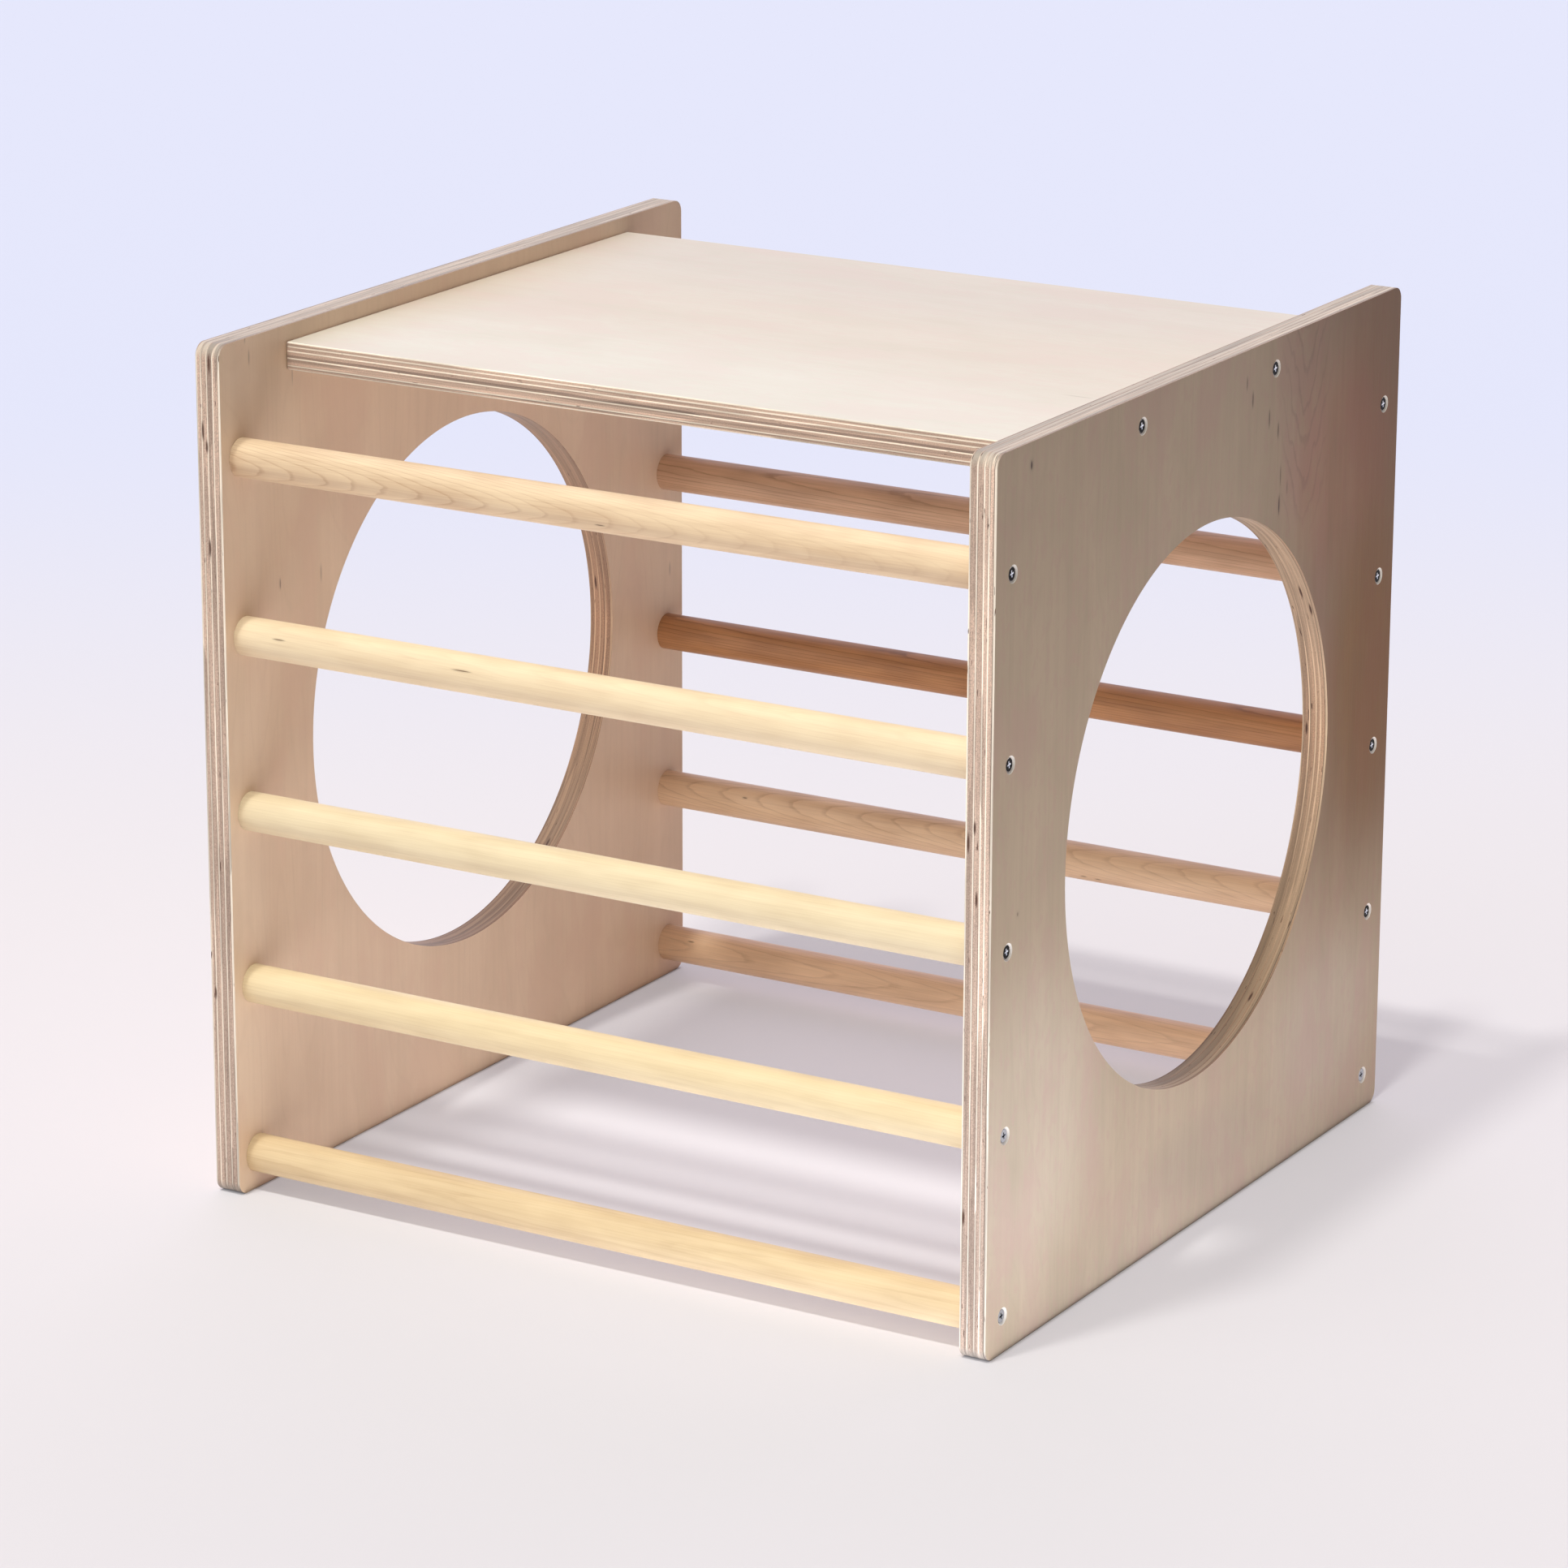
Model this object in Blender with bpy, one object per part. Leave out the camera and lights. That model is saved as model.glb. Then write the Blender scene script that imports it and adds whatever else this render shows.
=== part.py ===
"""A play cube: two plywood side panels with round holes, joined by rungs and a top panel.

The cube stands on the ground at z = 0, centred on the Z axis. X runs across it, from the left
panel to the right one, and Y from its front to its rear. Lengths are in metres.
"""
import math

import bmesh
import bpy
from mathutils import Matrix, Vector

# The cube
CUBE_HEIGHT = 0.560
CUBE_DEPTH = 0.545
INNER_WIDTH = 0.530
SEAT_GAP = 0.0003

# Side panels
SIDE_THICKNESS = 0.018
SIDE_CORNER_RADIUS = 0.0085
SIDE_EDGE_ROUND = 0.0018
HOLE_DIAMETER = 0.361

# Top panel, let down between the side panels and set back from their front and rear edges
TOP_THICKNESS = 0.018
TOP_DROP = 0.0105
TOP_SETBACK = 0.0715
TOP_EDGE_ROUND = 0.0008

# Rungs, whose ends stand in blind sockets in the side panels
RUNG_DIAMETER = 0.0254
RUNGS_PER_ROW = 5
RUNG_SETBACK = 0.0208
LOWEST_RUNG_HEIGHT = 0.0239
TOP_RUNG_DROP = 0.0745
SOCKET_DEPTH = 0.006

# Countersunk wood screws with a cross recess
SCREW_LENGTH = 0.050
SCREW_DIAMETER = 0.0042
SCREW_POINT_LENGTH = 0.006
SCREW_POINT_DIAMETER = 0.0006
HEAD_DIAMETER = 0.0084
HEAD_EDGE = 0.0002
HEAD_SINK = 0.0004
RECESS_SPAN = 0.0048
RECESS_ARM_WIDTH = 0.0010
RECESS_DEPTH = 0.0016
RECESS_TAPER = 0.55
TOP_SCREW_SPACING = 0.181

# How finely round shapes are cut into flat faces
HOLE_FACETS = 64
RUNG_FACETS = 24
SCREW_FACETS = 12
CORNER_FACETS = 4
SIDE_EDGE_FACETS = 2
TOP_EDGE_FACETS = 1
CUTTER_OVERSHOOT = 0.002
SHARP_ANGLE = math.radians(35)
ROUNDED_EDGE_ANGLE = math.radians(60)

# Places worked out from the sizes above
HALF_INNER_WIDTH = INNER_WIDTH / 2
HALF_OUTER_WIDTH = HALF_INNER_WIDTH + SIDE_THICKNESS
RUNG_OFFSET = CUBE_DEPTH / 2 - RUNG_SETBACK
RUNG_LENGTH = INNER_WIDTH + 2 * (SOCKET_DEPTH - SEAT_GAP)
TOP_DEPTH = CUBE_DEPTH - 2 * TOP_SETBACK
TOP_MIDDLE_HEIGHT = CUBE_HEIGHT - TOP_DROP - TOP_THICKNESS / 2
HEAD_FACE_X = HALF_OUTER_WIDTH - HEAD_SINK

SIDES = {"left": -1, "right": 1}
ROWS = {"front": -1, "rear": 1}

SIDE_PLYWOOD = {"Base Color": (0.62, 0.50, 0.37, 1), "Roughness": 0.55, "Metallic": 0}
TOP_PLYWOOD = {"Base Color": (0.83, 0.74, 0.60, 1), "Roughness": 0.50, "Metallic": 0}
RUNG_WOOD = {"Base Color": (0.80, 0.64, 0.42, 1), "Roughness": 0.45, "Metallic": 0}
STEEL = {"Base Color": (0.55, 0.55, 0.57, 1), "Roughness": 0.35, "Metallic": 1}


def clear_scene():
    for thing in list(bpy.data.objects):
        bpy.data.objects.remove(thing, do_unlink=True)


def rung_height(number):
    """Height of a rung's axis; number 1 is the top rung."""
    highest = CUBE_HEIGHT - TOP_RUNG_DROP
    pitch = (highest - LOWEST_RUNG_HEIGHT) / (RUNGS_PER_ROW - 1)
    return highest - (number - 1) * pitch


def rung_axes():
    """Name, Y and Z of every rung."""
    axes = []
    for row, sign in ROWS.items():
        for number in range(1, RUNGS_PER_ROW + 1):
            axes.append((f"{row}_rung_{number}", sign * RUNG_OFFSET, rung_height(number)))
    return axes


def side_turn(sign):
    """The left side is the right side turned half round the Z axis."""
    return Matrix.Rotation(0 if sign > 0 else math.pi, 4, "Z")


def make_material(name, finish):
    material = bpy.data.materials.new(name)
    material.use_nodes = True
    shader = material.node_tree.nodes["Principled BSDF"]
    for socket, value in finish.items():
        shader.inputs[socket].default_value = value
    return material


def finish_mesh(name, bm):
    bmesh.ops.recalc_face_normals(bm, faces=bm.faces)
    mesh = bpy.data.meshes.new(name)
    bm.to_mesh(mesh)
    bm.free()
    mesh.shade_smooth()
    mesh.set_sharp_from_angle(angle=SHARP_ANGLE)
    return mesh


def add_object(name, mesh, parent, location=(0, 0, 0), turn=None):
    thing = bpy.data.objects.new(name, mesh)
    bpy.context.scene.collection.objects.link(thing)
    thing.parent = parent
    thing.location = location
    if turn is not None:
        thing.rotation_euler = turn.to_euler()
    return thing


def add_piece(name, mesh, parent, finish, location, turn=None):
    """A solid with a material of its own, held by the object, so that pieces can share a mesh."""
    piece = add_object(name, mesh, parent, location, turn)
    if not mesh.materials:
        mesh.materials.append(None)
    piece.material_slots[0].link = "OBJECT"
    piece.material_slots[0].material = make_material(name, finish)
    return piece


def add_cutter(name, mesh, parent):
    cutter = add_object(name, mesh, parent)
    cutter.hide_render = True
    cutter.display_type = "WIRE"
    return cutter


def cut(piece, cutter):
    modifier = piece.modifiers.new(cutter.name, "BOOLEAN")
    modifier.operation = "DIFFERENCE"
    modifier.solver = "EXACT"
    modifier.object = cutter


def round_edges(piece, width, facets):
    modifier = piece.modifiers.new("rounded_edges", "BEVEL")
    modifier.width = width
    modifier.segments = facets
    modifier.limit_method = "ANGLE"
    modifier.angle_limit = ROUNDED_EDGE_ANGLE


def circle(x, radius, facets):
    """Points round the X axis, starting half a facet up, so that 45 degrees has a point."""
    step = 2 * math.pi / facets
    angles = [(i + 0.5) * step for i in range(facets)]
    return [Vector((x, radius * math.cos(angle), radius * math.sin(angle))) for angle in angles]


def cross(x, span, arm_width):
    """The twelve corners of a cross, in the order of a circle of twelve points."""
    reach = span / 2
    side = arm_width / 2
    points = []
    for quarter in range(4):
        turn = Matrix.Rotation(quarter * math.pi / 2, 3, "X")
        for y, z in ((reach, side), (side, side), (side, reach)):
            points.append(turn @ Vector((x, y, z)))
    return points


def rounded_rectangle(x, depth, height, radius, facets):
    """Corner arcs of an upright rectangle centred on the X axis."""
    points = []
    for quarter, (y_sign, z_sign) in enumerate(((1, 1), (-1, 1), (-1, -1), (1, -1))):
        centre_y = y_sign * (depth / 2 - radius)
        centre_z = z_sign * (height / 2 - radius)
        for i in range(facets + 1):
            angle = (quarter + i / facets) * math.pi / 2
            points.append(Vector((x, centre_y + radius * math.cos(angle),
                                  centre_z + radius * math.sin(angle))))
    return points


def loop(bm, points, place=None):
    """A closed loop of edges through the points."""
    verts = [bm.verts.new(place @ point if place else point) for point in points]
    return [bm.edges.new((verts[i - 1], vert)) for i, vert in enumerate(verts)]


def add_lofted_body(bm, outlines, place=None):
    """A closed body through outlines of equally many points, with flat ends."""
    loops = [loop(bm, outline, place) for outline in outlines]
    for first, second in zip(loops, loops[1:]):
        bmesh.ops.bridge_loops(bm, edges=first + second)
    for end in (loops[0], loops[-1]):
        bmesh.ops.contextual_create(bm, geom=end)


def screw_outlines():
    """From the floor of the cross recess, over the head, to the point at -X."""
    head_radius = HEAD_DIAMETER / 2
    shank_radius = SCREW_DIAMETER / 2
    cone_end = HEAD_EDGE + head_radius - shank_radius
    turned = [
        (0, head_radius),
        (HEAD_EDGE, head_radius),
        (cone_end, shank_radius),
        (SCREW_LENGTH - SCREW_POINT_LENGTH, shank_radius),
        (SCREW_LENGTH, SCREW_POINT_DIAMETER / 2),
    ]
    recess = [
        cross(-RECESS_DEPTH, RECESS_SPAN * RECESS_TAPER, RECESS_ARM_WIDTH * RECESS_TAPER),
        cross(0, RECESS_SPAN, RECESS_ARM_WIDTH),
    ]
    return recess + [circle(-depth, radius, SCREW_FACETS) for depth, radius in turned]


def bore_outlines():
    """The screw grown by the gap: a 45 degree countersink open to the outside, then a plain bore."""
    countersink = HEAD_DIAMETER / 2 + HEAD_EDGE + SEAT_GAP * math.sqrt(2)
    bore_radius = SCREW_DIAMETER / 2 + SEAT_GAP
    mouth = HEAD_SINK + CUTTER_OVERSHOOT
    turned = [
        (-mouth, countersink + mouth),
        (countersink - bore_radius, bore_radius),
        (SCREW_LENGTH + SEAT_GAP, bore_radius),
    ]
    return [circle(-depth, radius, SCREW_FACETS) for depth, radius in turned]


def bodies_mesh(name, outlines, places):
    bm = bmesh.new()
    for place in places:
        add_lofted_body(bm, outlines, place)
    return finish_mesh(name, bm)


def screw_places():
    """Name of every screw, and where the middle of its head's face is."""
    spots = rung_axes()
    for row, row_sign in ROWS.items():
        spots.append((f"top_panel_{row}", row_sign * TOP_SCREW_SPACING / 2, TOP_MIDDLE_HEIGHT))
    places = {}
    for side, sign in SIDES.items():
        for spot, y, z in spots:
            place = Matrix.Translation((sign * HEAD_FACE_X, y, z)) @ side_turn(sign)
            places[f"{spot}_{side}_screw"] = place
    return places


def make_cutters(root):
    places = screw_places().values()
    bores = add_cutter("screw_bores", bodies_mesh("screw_bores", bore_outlines(), places), root)
    socket_end = RUNG_LENGTH / 2 + SEAT_GAP
    socket_radius = RUNG_DIAMETER / 2 + SEAT_GAP
    outlines = [circle(x, socket_radius, RUNG_FACETS) for x in (-socket_end, socket_end)]
    places = [Matrix.Translation((0, y, z)) for _, y, z in rung_axes()]
    sockets = add_cutter("rung_sockets", bodies_mesh("rung_sockets", outlines, places), root)
    return bores, sockets


def side_plate_mesh():
    """A plate from its inner face at x = 0 to its outer face, centred on its round hole."""
    bm = bmesh.new()
    edges = loop(bm, rounded_rectangle(0, CUBE_DEPTH, CUBE_HEIGHT, SIDE_CORNER_RADIUS, CORNER_FACETS))
    edges += loop(bm, circle(0, HOLE_DIAMETER / 2, HOLE_FACETS))
    filled = bmesh.ops.triangle_fill(bm, edges=edges, use_beauty=True)
    faces = [item for item in filled["geom"] if isinstance(item, bmesh.types.BMFace)]
    extruded = bmesh.ops.extrude_face_region(bm, geom=faces)
    verts = [item for item in extruded["geom"] if isinstance(item, bmesh.types.BMVert)]
    bmesh.ops.translate(bm, verts=verts, vec=(SIDE_THICKNESS, 0, 0))
    return finish_mesh("side_plate", bm)


def make_side_panels(root, bores, sockets):
    mesh = side_plate_mesh()
    for side, sign in SIDES.items():
        location = (sign * HALF_INNER_WIDTH, 0, CUBE_HEIGHT / 2)
        panel = add_piece(f"{side}_side_panel", mesh, root, SIDE_PLYWOOD, location, side_turn(sign))
        round_edges(panel, SIDE_EDGE_ROUND, SIDE_EDGE_FACETS)
        cut(panel, sockets)
        cut(panel, bores)


def make_top_panel(root, bores):
    bm = bmesh.new()
    size = Vector((INNER_WIDTH - 2 * SEAT_GAP, TOP_DEPTH, TOP_THICKNESS))
    bmesh.ops.create_cube(bm, size=1, matrix=Matrix.Diagonal(size.to_4d()))
    mesh = finish_mesh("top_panel", bm)
    panel = add_piece("top_panel", mesh, root, TOP_PLYWOOD, (0, 0, TOP_MIDDLE_HEIGHT))
    round_edges(panel, TOP_EDGE_ROUND, TOP_EDGE_FACETS)
    cut(panel, bores)


def make_rungs(root, bores):
    ends = (-RUNG_LENGTH / 2, RUNG_LENGTH / 2)
    outlines = [circle(x, RUNG_DIAMETER / 2, RUNG_FACETS) for x in ends]
    mesh = bodies_mesh("rung", outlines, [Matrix.Identity(4)])
    for name, y, z in rung_axes():
        rung = add_piece(name, mesh, root, RUNG_WOOD, (0, y, z))
        cut(rung, bores)


def make_screws(root):
    mesh = bodies_mesh("screw", screw_outlines(), [Matrix.Identity(4)])
    for name, place in screw_places().items():
        add_piece(name, mesh, root, STEEL, place.to_translation(), place)


def main():
    clear_scene()
    root = add_object("play_cube", None, None)
    bores, sockets = make_cutters(root)
    make_side_panels(root, bores, sockets)
    make_top_panel(root, bores)
    make_rungs(root, bores)
    make_screws(root)


main()
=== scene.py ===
"""The looks of a wooden play cube, built round its CAD frame.

Every panel, rung and screw gets a finer mesh in its place, with a plywood, wood or zinc made of
nodes. X runs from the left panel to the right one, Y from front to rear and Z up. Lengths are in
metres. Only a board's plies, gaps, marks, and its stains and patches of painted light and shade, and
a rung's knots, are in millimetres.
"""
import math

import bmesh
import bpy
from mathutils import Matrix, Vector


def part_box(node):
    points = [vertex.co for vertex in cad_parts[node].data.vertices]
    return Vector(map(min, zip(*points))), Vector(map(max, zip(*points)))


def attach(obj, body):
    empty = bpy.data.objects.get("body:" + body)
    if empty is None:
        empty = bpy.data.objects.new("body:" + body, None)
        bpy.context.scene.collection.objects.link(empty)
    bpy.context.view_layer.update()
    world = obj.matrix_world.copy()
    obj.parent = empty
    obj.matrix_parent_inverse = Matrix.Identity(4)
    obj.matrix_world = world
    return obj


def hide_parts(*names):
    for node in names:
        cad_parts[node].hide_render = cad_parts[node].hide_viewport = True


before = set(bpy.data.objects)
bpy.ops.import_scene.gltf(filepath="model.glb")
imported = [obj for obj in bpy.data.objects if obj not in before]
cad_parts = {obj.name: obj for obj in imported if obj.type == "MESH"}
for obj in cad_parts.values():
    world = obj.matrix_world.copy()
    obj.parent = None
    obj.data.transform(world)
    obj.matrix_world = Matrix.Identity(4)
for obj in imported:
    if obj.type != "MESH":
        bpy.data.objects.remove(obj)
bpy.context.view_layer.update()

MM = 0.001
SIDES = {"left": -1, "right": 1}
ROWS = ("front", "rear")
RUNGS_PER_ROW = 5
RUNG_NAMES = [f"{row}_rung_{number}" for row in ROWS for number in range(1, RUNGS_PER_ROW + 1)]
# What the screws of each side hold
SPOTS = RUNG_NAMES + [f"top_panel_{row}" for row in ROWS]

# Sizes that the boxes of the CAD nodes don't give: first the gaps round a screw and round a rung
SEAT_GAP = 0.0003
SOCKET_GAP = 0.00005
HOLE_DIAMETER = 0.361
SIDE_CORNER_RADIUS = 0.0085
SIDE_EDGE_ROUND = 0.0018
TOP_EDGE_ROUND = 0.0008
RUNG_END_CHAMFER = 0.0005
BORE_RADIUS = 0.0024

# Screws: a countersunk head with a cross recess, a plain neck, a thread and a point. The ridge of
# the thread takes a share of its pitch, and the recess narrows to a share of its span
HEAD_RADIUS = 0.0042
HEAD_EDGE = 0.0002
HEAD_RIM = 0.00025
HEAD_SHOULDER = 0.3 * HEAD_RIM
CAD_HEAD_SINK = 0.0004
HEAD_SINK = 0.0008
NECK_RADIUS = 0.0018
NECK_TAPER = 0.001
CORE_RADIUS = 0.00145
THREAD_RADIUS = 0.0021
THREAD_START = 0.018
THREAD_PITCH = 0.0022
THREAD_RIDGE = 0.5
POINT_LENGTH = 0.006
POINT_RADIUS = 0.0002
RECESS_SPAN = 0.0044
RECESS_ARM_WIDTH = 0.0011
RECESS_DEPTH = 0.0021
RECESS_TAPER = 0.45
RECESS_TURN = math.radians(8)

# How finely round shapes are cut
HOLE_FACETS = 192
CORNER_FACETS = 10
RUNG_FACETS = 64
BORE_FACETS = 48
SCREW_FACETS = 24
THREAD_ROWS_PER_TURN = 4
SIDE_EDGE_FACETS = 5
TOP_EDGE_FACETS = 3
OVERSHOOT = 0.002
SHARP_ANGLE = math.radians(30)
BEVEL_ANGLE = math.radians(60)

# Camera of the photograph, with its lens and sensor in millimetres
CAMERA_PLACE = Vector((1.8659, -3.1870, 1.3686))
CAMERA_AZIMUTH = math.radians(30.61)
CAMERA_ELEVATION = math.radians(16.87)
CAMERA_ROLL = math.radians(0.174)
CAMERA_LENS = 136.61
CAMERA_SENSOR = 36

# Two keys side by side: how far the shadows move in X and Y for each metre of height, and the level
KEYS = (
    (Vector((0.147, 0.370, -1)), 0.41),
    (Vector((-0.030, 0.370, -1)), 0.39),
)
KEY_COLOUR = (0.98, 1.0, 0.90)
KEY_SPREAD = math.radians(5)
# Soft light from each side: its direction, how narrow it is, and its colour
FILLS = (
    ((-0.5, -1, 0.35), 6, (1.23, 1.08, 0.92)),
    ((0, -0.6, 1), 4, (0.90, 0.91, 0.74)),
    ((-0.5, 1, 0.4), 4, (2.51, 2.09, 2.36)),
)
# Light that the floor gives the cube beside what it reflects: middle, radii between which it
# grows, and colour
GLOWS = (
    ((0.42, -0.35, 0), (0.65, 0.05), (1.08, 1.26, 1.46)),
    ((0.38, 0.10, 0), (0.35, 0.05), (0.34, 0.38, 0.50)),
    ((-0.15, -0.45, 0), (0.70, 0.10), (0.16, 0.19, 0.26)),
    ((0, 0, 0), (0.42, 0.15), (0.28, 0.31, 0.33)),
)

FLOOR_RADIUS = 9.0
FLOOR_FACETS = 96
FLOOR_NEAR = (0.428, 0.404, 0.442)
FLOOR_FAR = (0.350, 0.375, 0.520)
# Where the near colour turns into the far one: its direction and its distances from the cube
FLOOR_AWAY = (-0.5, 0.85)
FLOOR_TURN = (0.4, 2.2)
BACKDROP = (0.76, 0.79, 0.94)
# What the floor shows beside the light on it: everywhere, and more inside the cube, where it is
# painted light that the cube's inner faces throw on the floor
FLOOR_HAZE = (0.268, 0.270, 0.288)
INNER_PAINTED_LIGHT = (0.08, 0.07, 0.08)
INNER_REACH = (0.36, 0.10)
# Distances from the middle of a side panel's foot between which the shade under it ends, as seen
# and as it lights the cube
FOOT_SHADE = (0.0085, 0.0125)
FOOT_LIGHT = (0.009, 0.015)
# How far past the end of a foot this shade reaches
FOOT_FADE = 0.006
# What the floor reflects on the cube: bright round a middle, dark further out
BOUNCE_MIDDLE = (0.0, -0.35, 0.0)
BOUNCE_REACH = (0.75, 1.60)
BOUNCE_NEAR = (0.84, 0.80, 0.77)
BOUNCE_FAR = (0.05, 0.05, 0.05)

# Plies of a side panel from its inner face, and of the top panel from its upper face:
# thickness in millimetres, whether the grain runs across the face grain, and tone
ALONG, ACROSS = 0, 1
PLIES = {
    "left": (
        (1.0, ALONG, 0.92), (0.5, ALONG, 1.10), (0.4, ACROSS, 0.55), (3.3, ACROSS, 0.90),
        (0.7, ALONG, 1.14), (0.3, ACROSS, 0.55), (3.4, ACROSS, 0.84), (0.7, ALONG, 1.14),
        (3.6, ACROSS, 0.96), (0.7, ALONG, 1.12), (2.4, ACROSS, 0.92), (1.0, ALONG, 0.92),
    ),
    "right": (
        (0.9, ALONG, 1.02), (0.2, ACROSS, 0.50), (3.5, ACROSS, 0.90), (0.7, ALONG, 1.14),
        (0.3, ACROSS, 0.50), (3.4, ACROSS, 0.90), (0.7, ALONG, 1.16), (2.4, ACROSS, 1.04),
        (0.7, ALONG, 1.14), (2.4, ACROSS, 1.06), (0.5, ACROSS, 0.45), (1.3, ALONG, 1.02),
    ),
    "top": (
        (0.9, ALONG, 1.10), (1.5, ACROSS, 0.98), (0.9, ALONG, 1.08), (2.1, ACROSS, 0.84),
        (0.9, ALONG, 1.06), (2.0, ACROSS, 0.96), (1.7, ACROSS, 0.50), (0.9, ALONG, 1.10),
        (2.4, ACROSS, 0.82), (1.5, ACROSS, 1.04), (0.8, ALONG, 1.06), (0.4, ACROSS, 0.55),
        (1.1, ACROSS, 0.88), (0.9, ALONG, 1.02),
    ),
}
# Seeds that give each board a figure of its own
BOARD_SEEDS = {"left": 3, "right": 4, "top": 9}
# Half the width over which one ply turns into the next, and how far the plies wander
PLY_BLUR = 0.06
PLY_WANDER = 0.5
# Colours of a cut ply along its grain and where its grain ends
RIM = ((0.76, 0.68, 0.62), (0.53, 0.385, 0.33))
# How far the tone of cut plies varies and its least: from veneer to veneer, in hairs along the
# grain, and in the grit where the grain ends
VENEER_TONES = (0.50, 0.75)
HAIR_TONES = (0.60, 0.70)
GRIT_TONES = (1.6, 0.20)
# Tone of each board's cut edges, their tint in its hole, which is painted warm shade from inside the
# cube, and that of the edges that cut its face grain, such as a side panel's upper edge
RIM_TONES = {"left": 0.94, "right": 1.03, "top": 1.16}
HOLE_SHADE_TINTS = {"left": (0.80, 0.60, 0.45), "right": (0.95, 0.80, 0.62), "top": (1, 1, 1)}
UPPER_EDGE_TINTS = {"left": (0.59, 0.555, 0.54), "right": (0.50, 0.47, 0.45), "top": (0.70, 0.67, 0.68)}
# Distances outside the hole's wall between which its painted shade ends
HOLE_SHADE_REACH = (0.004, 0.003)
# Painted shade on a side panel's edges at the floor: how much darker they are there, and up to which
# height
FOOT_EDGE_SHADE = (-0.25, 0.008)
# How much paler a side panel's edges get per metre of height
EDGE_SLOPE = 0.6
# The fresh wood of the countersinks: its colour, the turns towards the face between which it
# shows, and how far it keeps from the hole and from the board's outline
COUNTERSINK_COLOUR = (0.97, 0.88, 0.83)
COUNTERSINK_SLOPES = ((0.50, 0.60), (0.90, 0.80))
COUNTERSINK_MARGIN = 0.005
# How far a surface turns to the face where the cut edge ends and where the face is pure
FACE_TURN = (0.90, 0.985)
# Relief of the grain, as height and strength, and how far the roughness varies and its least
BOARD_RELIEF = (0.15 * MM, 0.35)
BOARD_ROUGHNESS = (0.16, 0.42)
# Open gaps between plies: depth, across, along, half-length in the panel's own millimetres
VOIDS = {
    "left": (
        (7.8, 272, 268, 9), (13.6, 272, 225, 9), (10.8, 272, 215, 6), (10.4, 272, 150, 9),
        (14.9, 272, -144, 6), (12.6, -179, 25, 7), (8.3, -108, -145, 6),
    ),
    "right": (
        (2.0, -272, 45, 9), (7.9, -272, 11, 7), (6.2, -272, 55, 6), (1.8, -272, -189, 7),
        (11.1, 149, 102, 8), (14.6, 157, 89, 7), (3.1, 180, 2, 6), (10.8, 92, -155, 6),
    ),
    "top": (),
}
VOID_HALF_WIDTH = 1.2
VOID_COLOUR = (0.09, 0.035, 0.02)

# Face veneers: light, dark and pinkish tones, how strong their streaks are and how mottled they are
FACES = {
    # The left panel's tones are paler than the others as painted light, to make up for the shade inside
    # the cube on its inner face
    "left": ((0.92, 0.70, 0.53), (0.76, 0.56, 0.41), (0.84, 0.60, 0.455), 0.3, 0.15),
    "right": ((0.63, 0.472, 0.336), (0.515, 0.385, 0.265), (0.58, 0.38, 0.295), 0.5, 0.45),
    "top": ((0.62, 0.555, 0.505), (0.57, 0.50, 0.44), (0.61, 0.505, 0.465), 0.4, 0.45),
}
# Strengths of the figure that the three have in common, and how many rings its flames are cut from
FACE_STREAKS = 0.42
FACE_BANDS = 0.30
FACE_SHADES = 0.35
FACE_FLAMES = 0.12
FACE_RINGS = 20
FACE_PINK = 0.6
# Strength of the pores, and their share of the dark tone
PORE_STRENGTH = 0.25
PORE_TONE = 0.55
# Small dark marks in a face: the panel's own millimetres in depth, across and along the grain,
# width, length, and strength
MARKS = {
    "left": (
        (0, 241, 267, 0.8, 12, 0.35), (0, 195, 247, 0.6, 16, 0.3), (0, 245, 280, 0.7, 8, 0.3),
        (0, 213, 115, 0.8, 8, 0.6), (0, 168, 112, 0.7, 14, 0.4), (0, -256, 19, 0.8, 12, 0.35),
    ),
    "right": (
        (18, -231, 266, 1.5, 4.5, 1.0), (18, 49.5, 259, 0.9, 10, 0.6), (18, 58, 247, 1.0, 12, 0.8),
        (18, 82, 230, 1.0, 14, 0.8), (18, 95, 220, 1.0, 12, 0.8), (18, 99, 171, 1.2, 14, 1.0),
        (18, 100, 190, 0.8, 16, 0.6), (18, 110, 180, 0.9, 10, 0.4), (18, -240, -5, 1.2, 1.2, 0.5),
    ),
    "top": ((0, -76, 232, 0.8, 26, 0.25),),
}
MARK_TINT = (0.12, 0.05, 0.03)
MARK_HALF_DEPTH = 3
# A mark and the shade round it: how many times the mark's width, and how strong
MARK_LAYERS = ((1.0, 1.0), (3.0, 0.15))
# Broad soft patches: across and along the grain, half-width and half-length in millimetres, and tint.
# Those of the right panel are painted light and shade: paler and bluer low down at the front and at
# the rear, darker and oranger midway up at the rear, paler higher up at the rear and a little darker
# at the bottom. The top's front half is paler and bluer, its rear half darker, its left end yellower
STAINS_AND_PAINTED_LIGHT = {
    "left": (),
    "right": (
        (-225, -145, 130, 140, (1.24, 1.31, 1.42)), (240, 35, 80, 140, (0.96, 0.79, 0.39)),
        (190, 180, 100, 100, (1.17, 1.02, 1.02)), (190, -195, 110, 80, (1.04, 1.08, 1.16)),
        (20, -235, 130, 40, (0.92, 0.92, 0.94)),
    ),
    "top": (
        (-201, 0, 200, 600, (1.07, 1.13, 1.16)), (201, 0, 200, 600, (0.94, 0.95, 0.98)),
        (0, -265, 400, 70, (0.97, 0.93, 0.87)),
    ),
}
# The patches go through the whole board
PATCH_HALF_DEPTH = 1000
# The figure of flames in the right panel's outer face: across, lowest point, half-width and spacing
FLAMES = (0.134, 0.140, 0.024, 0.026)
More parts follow.
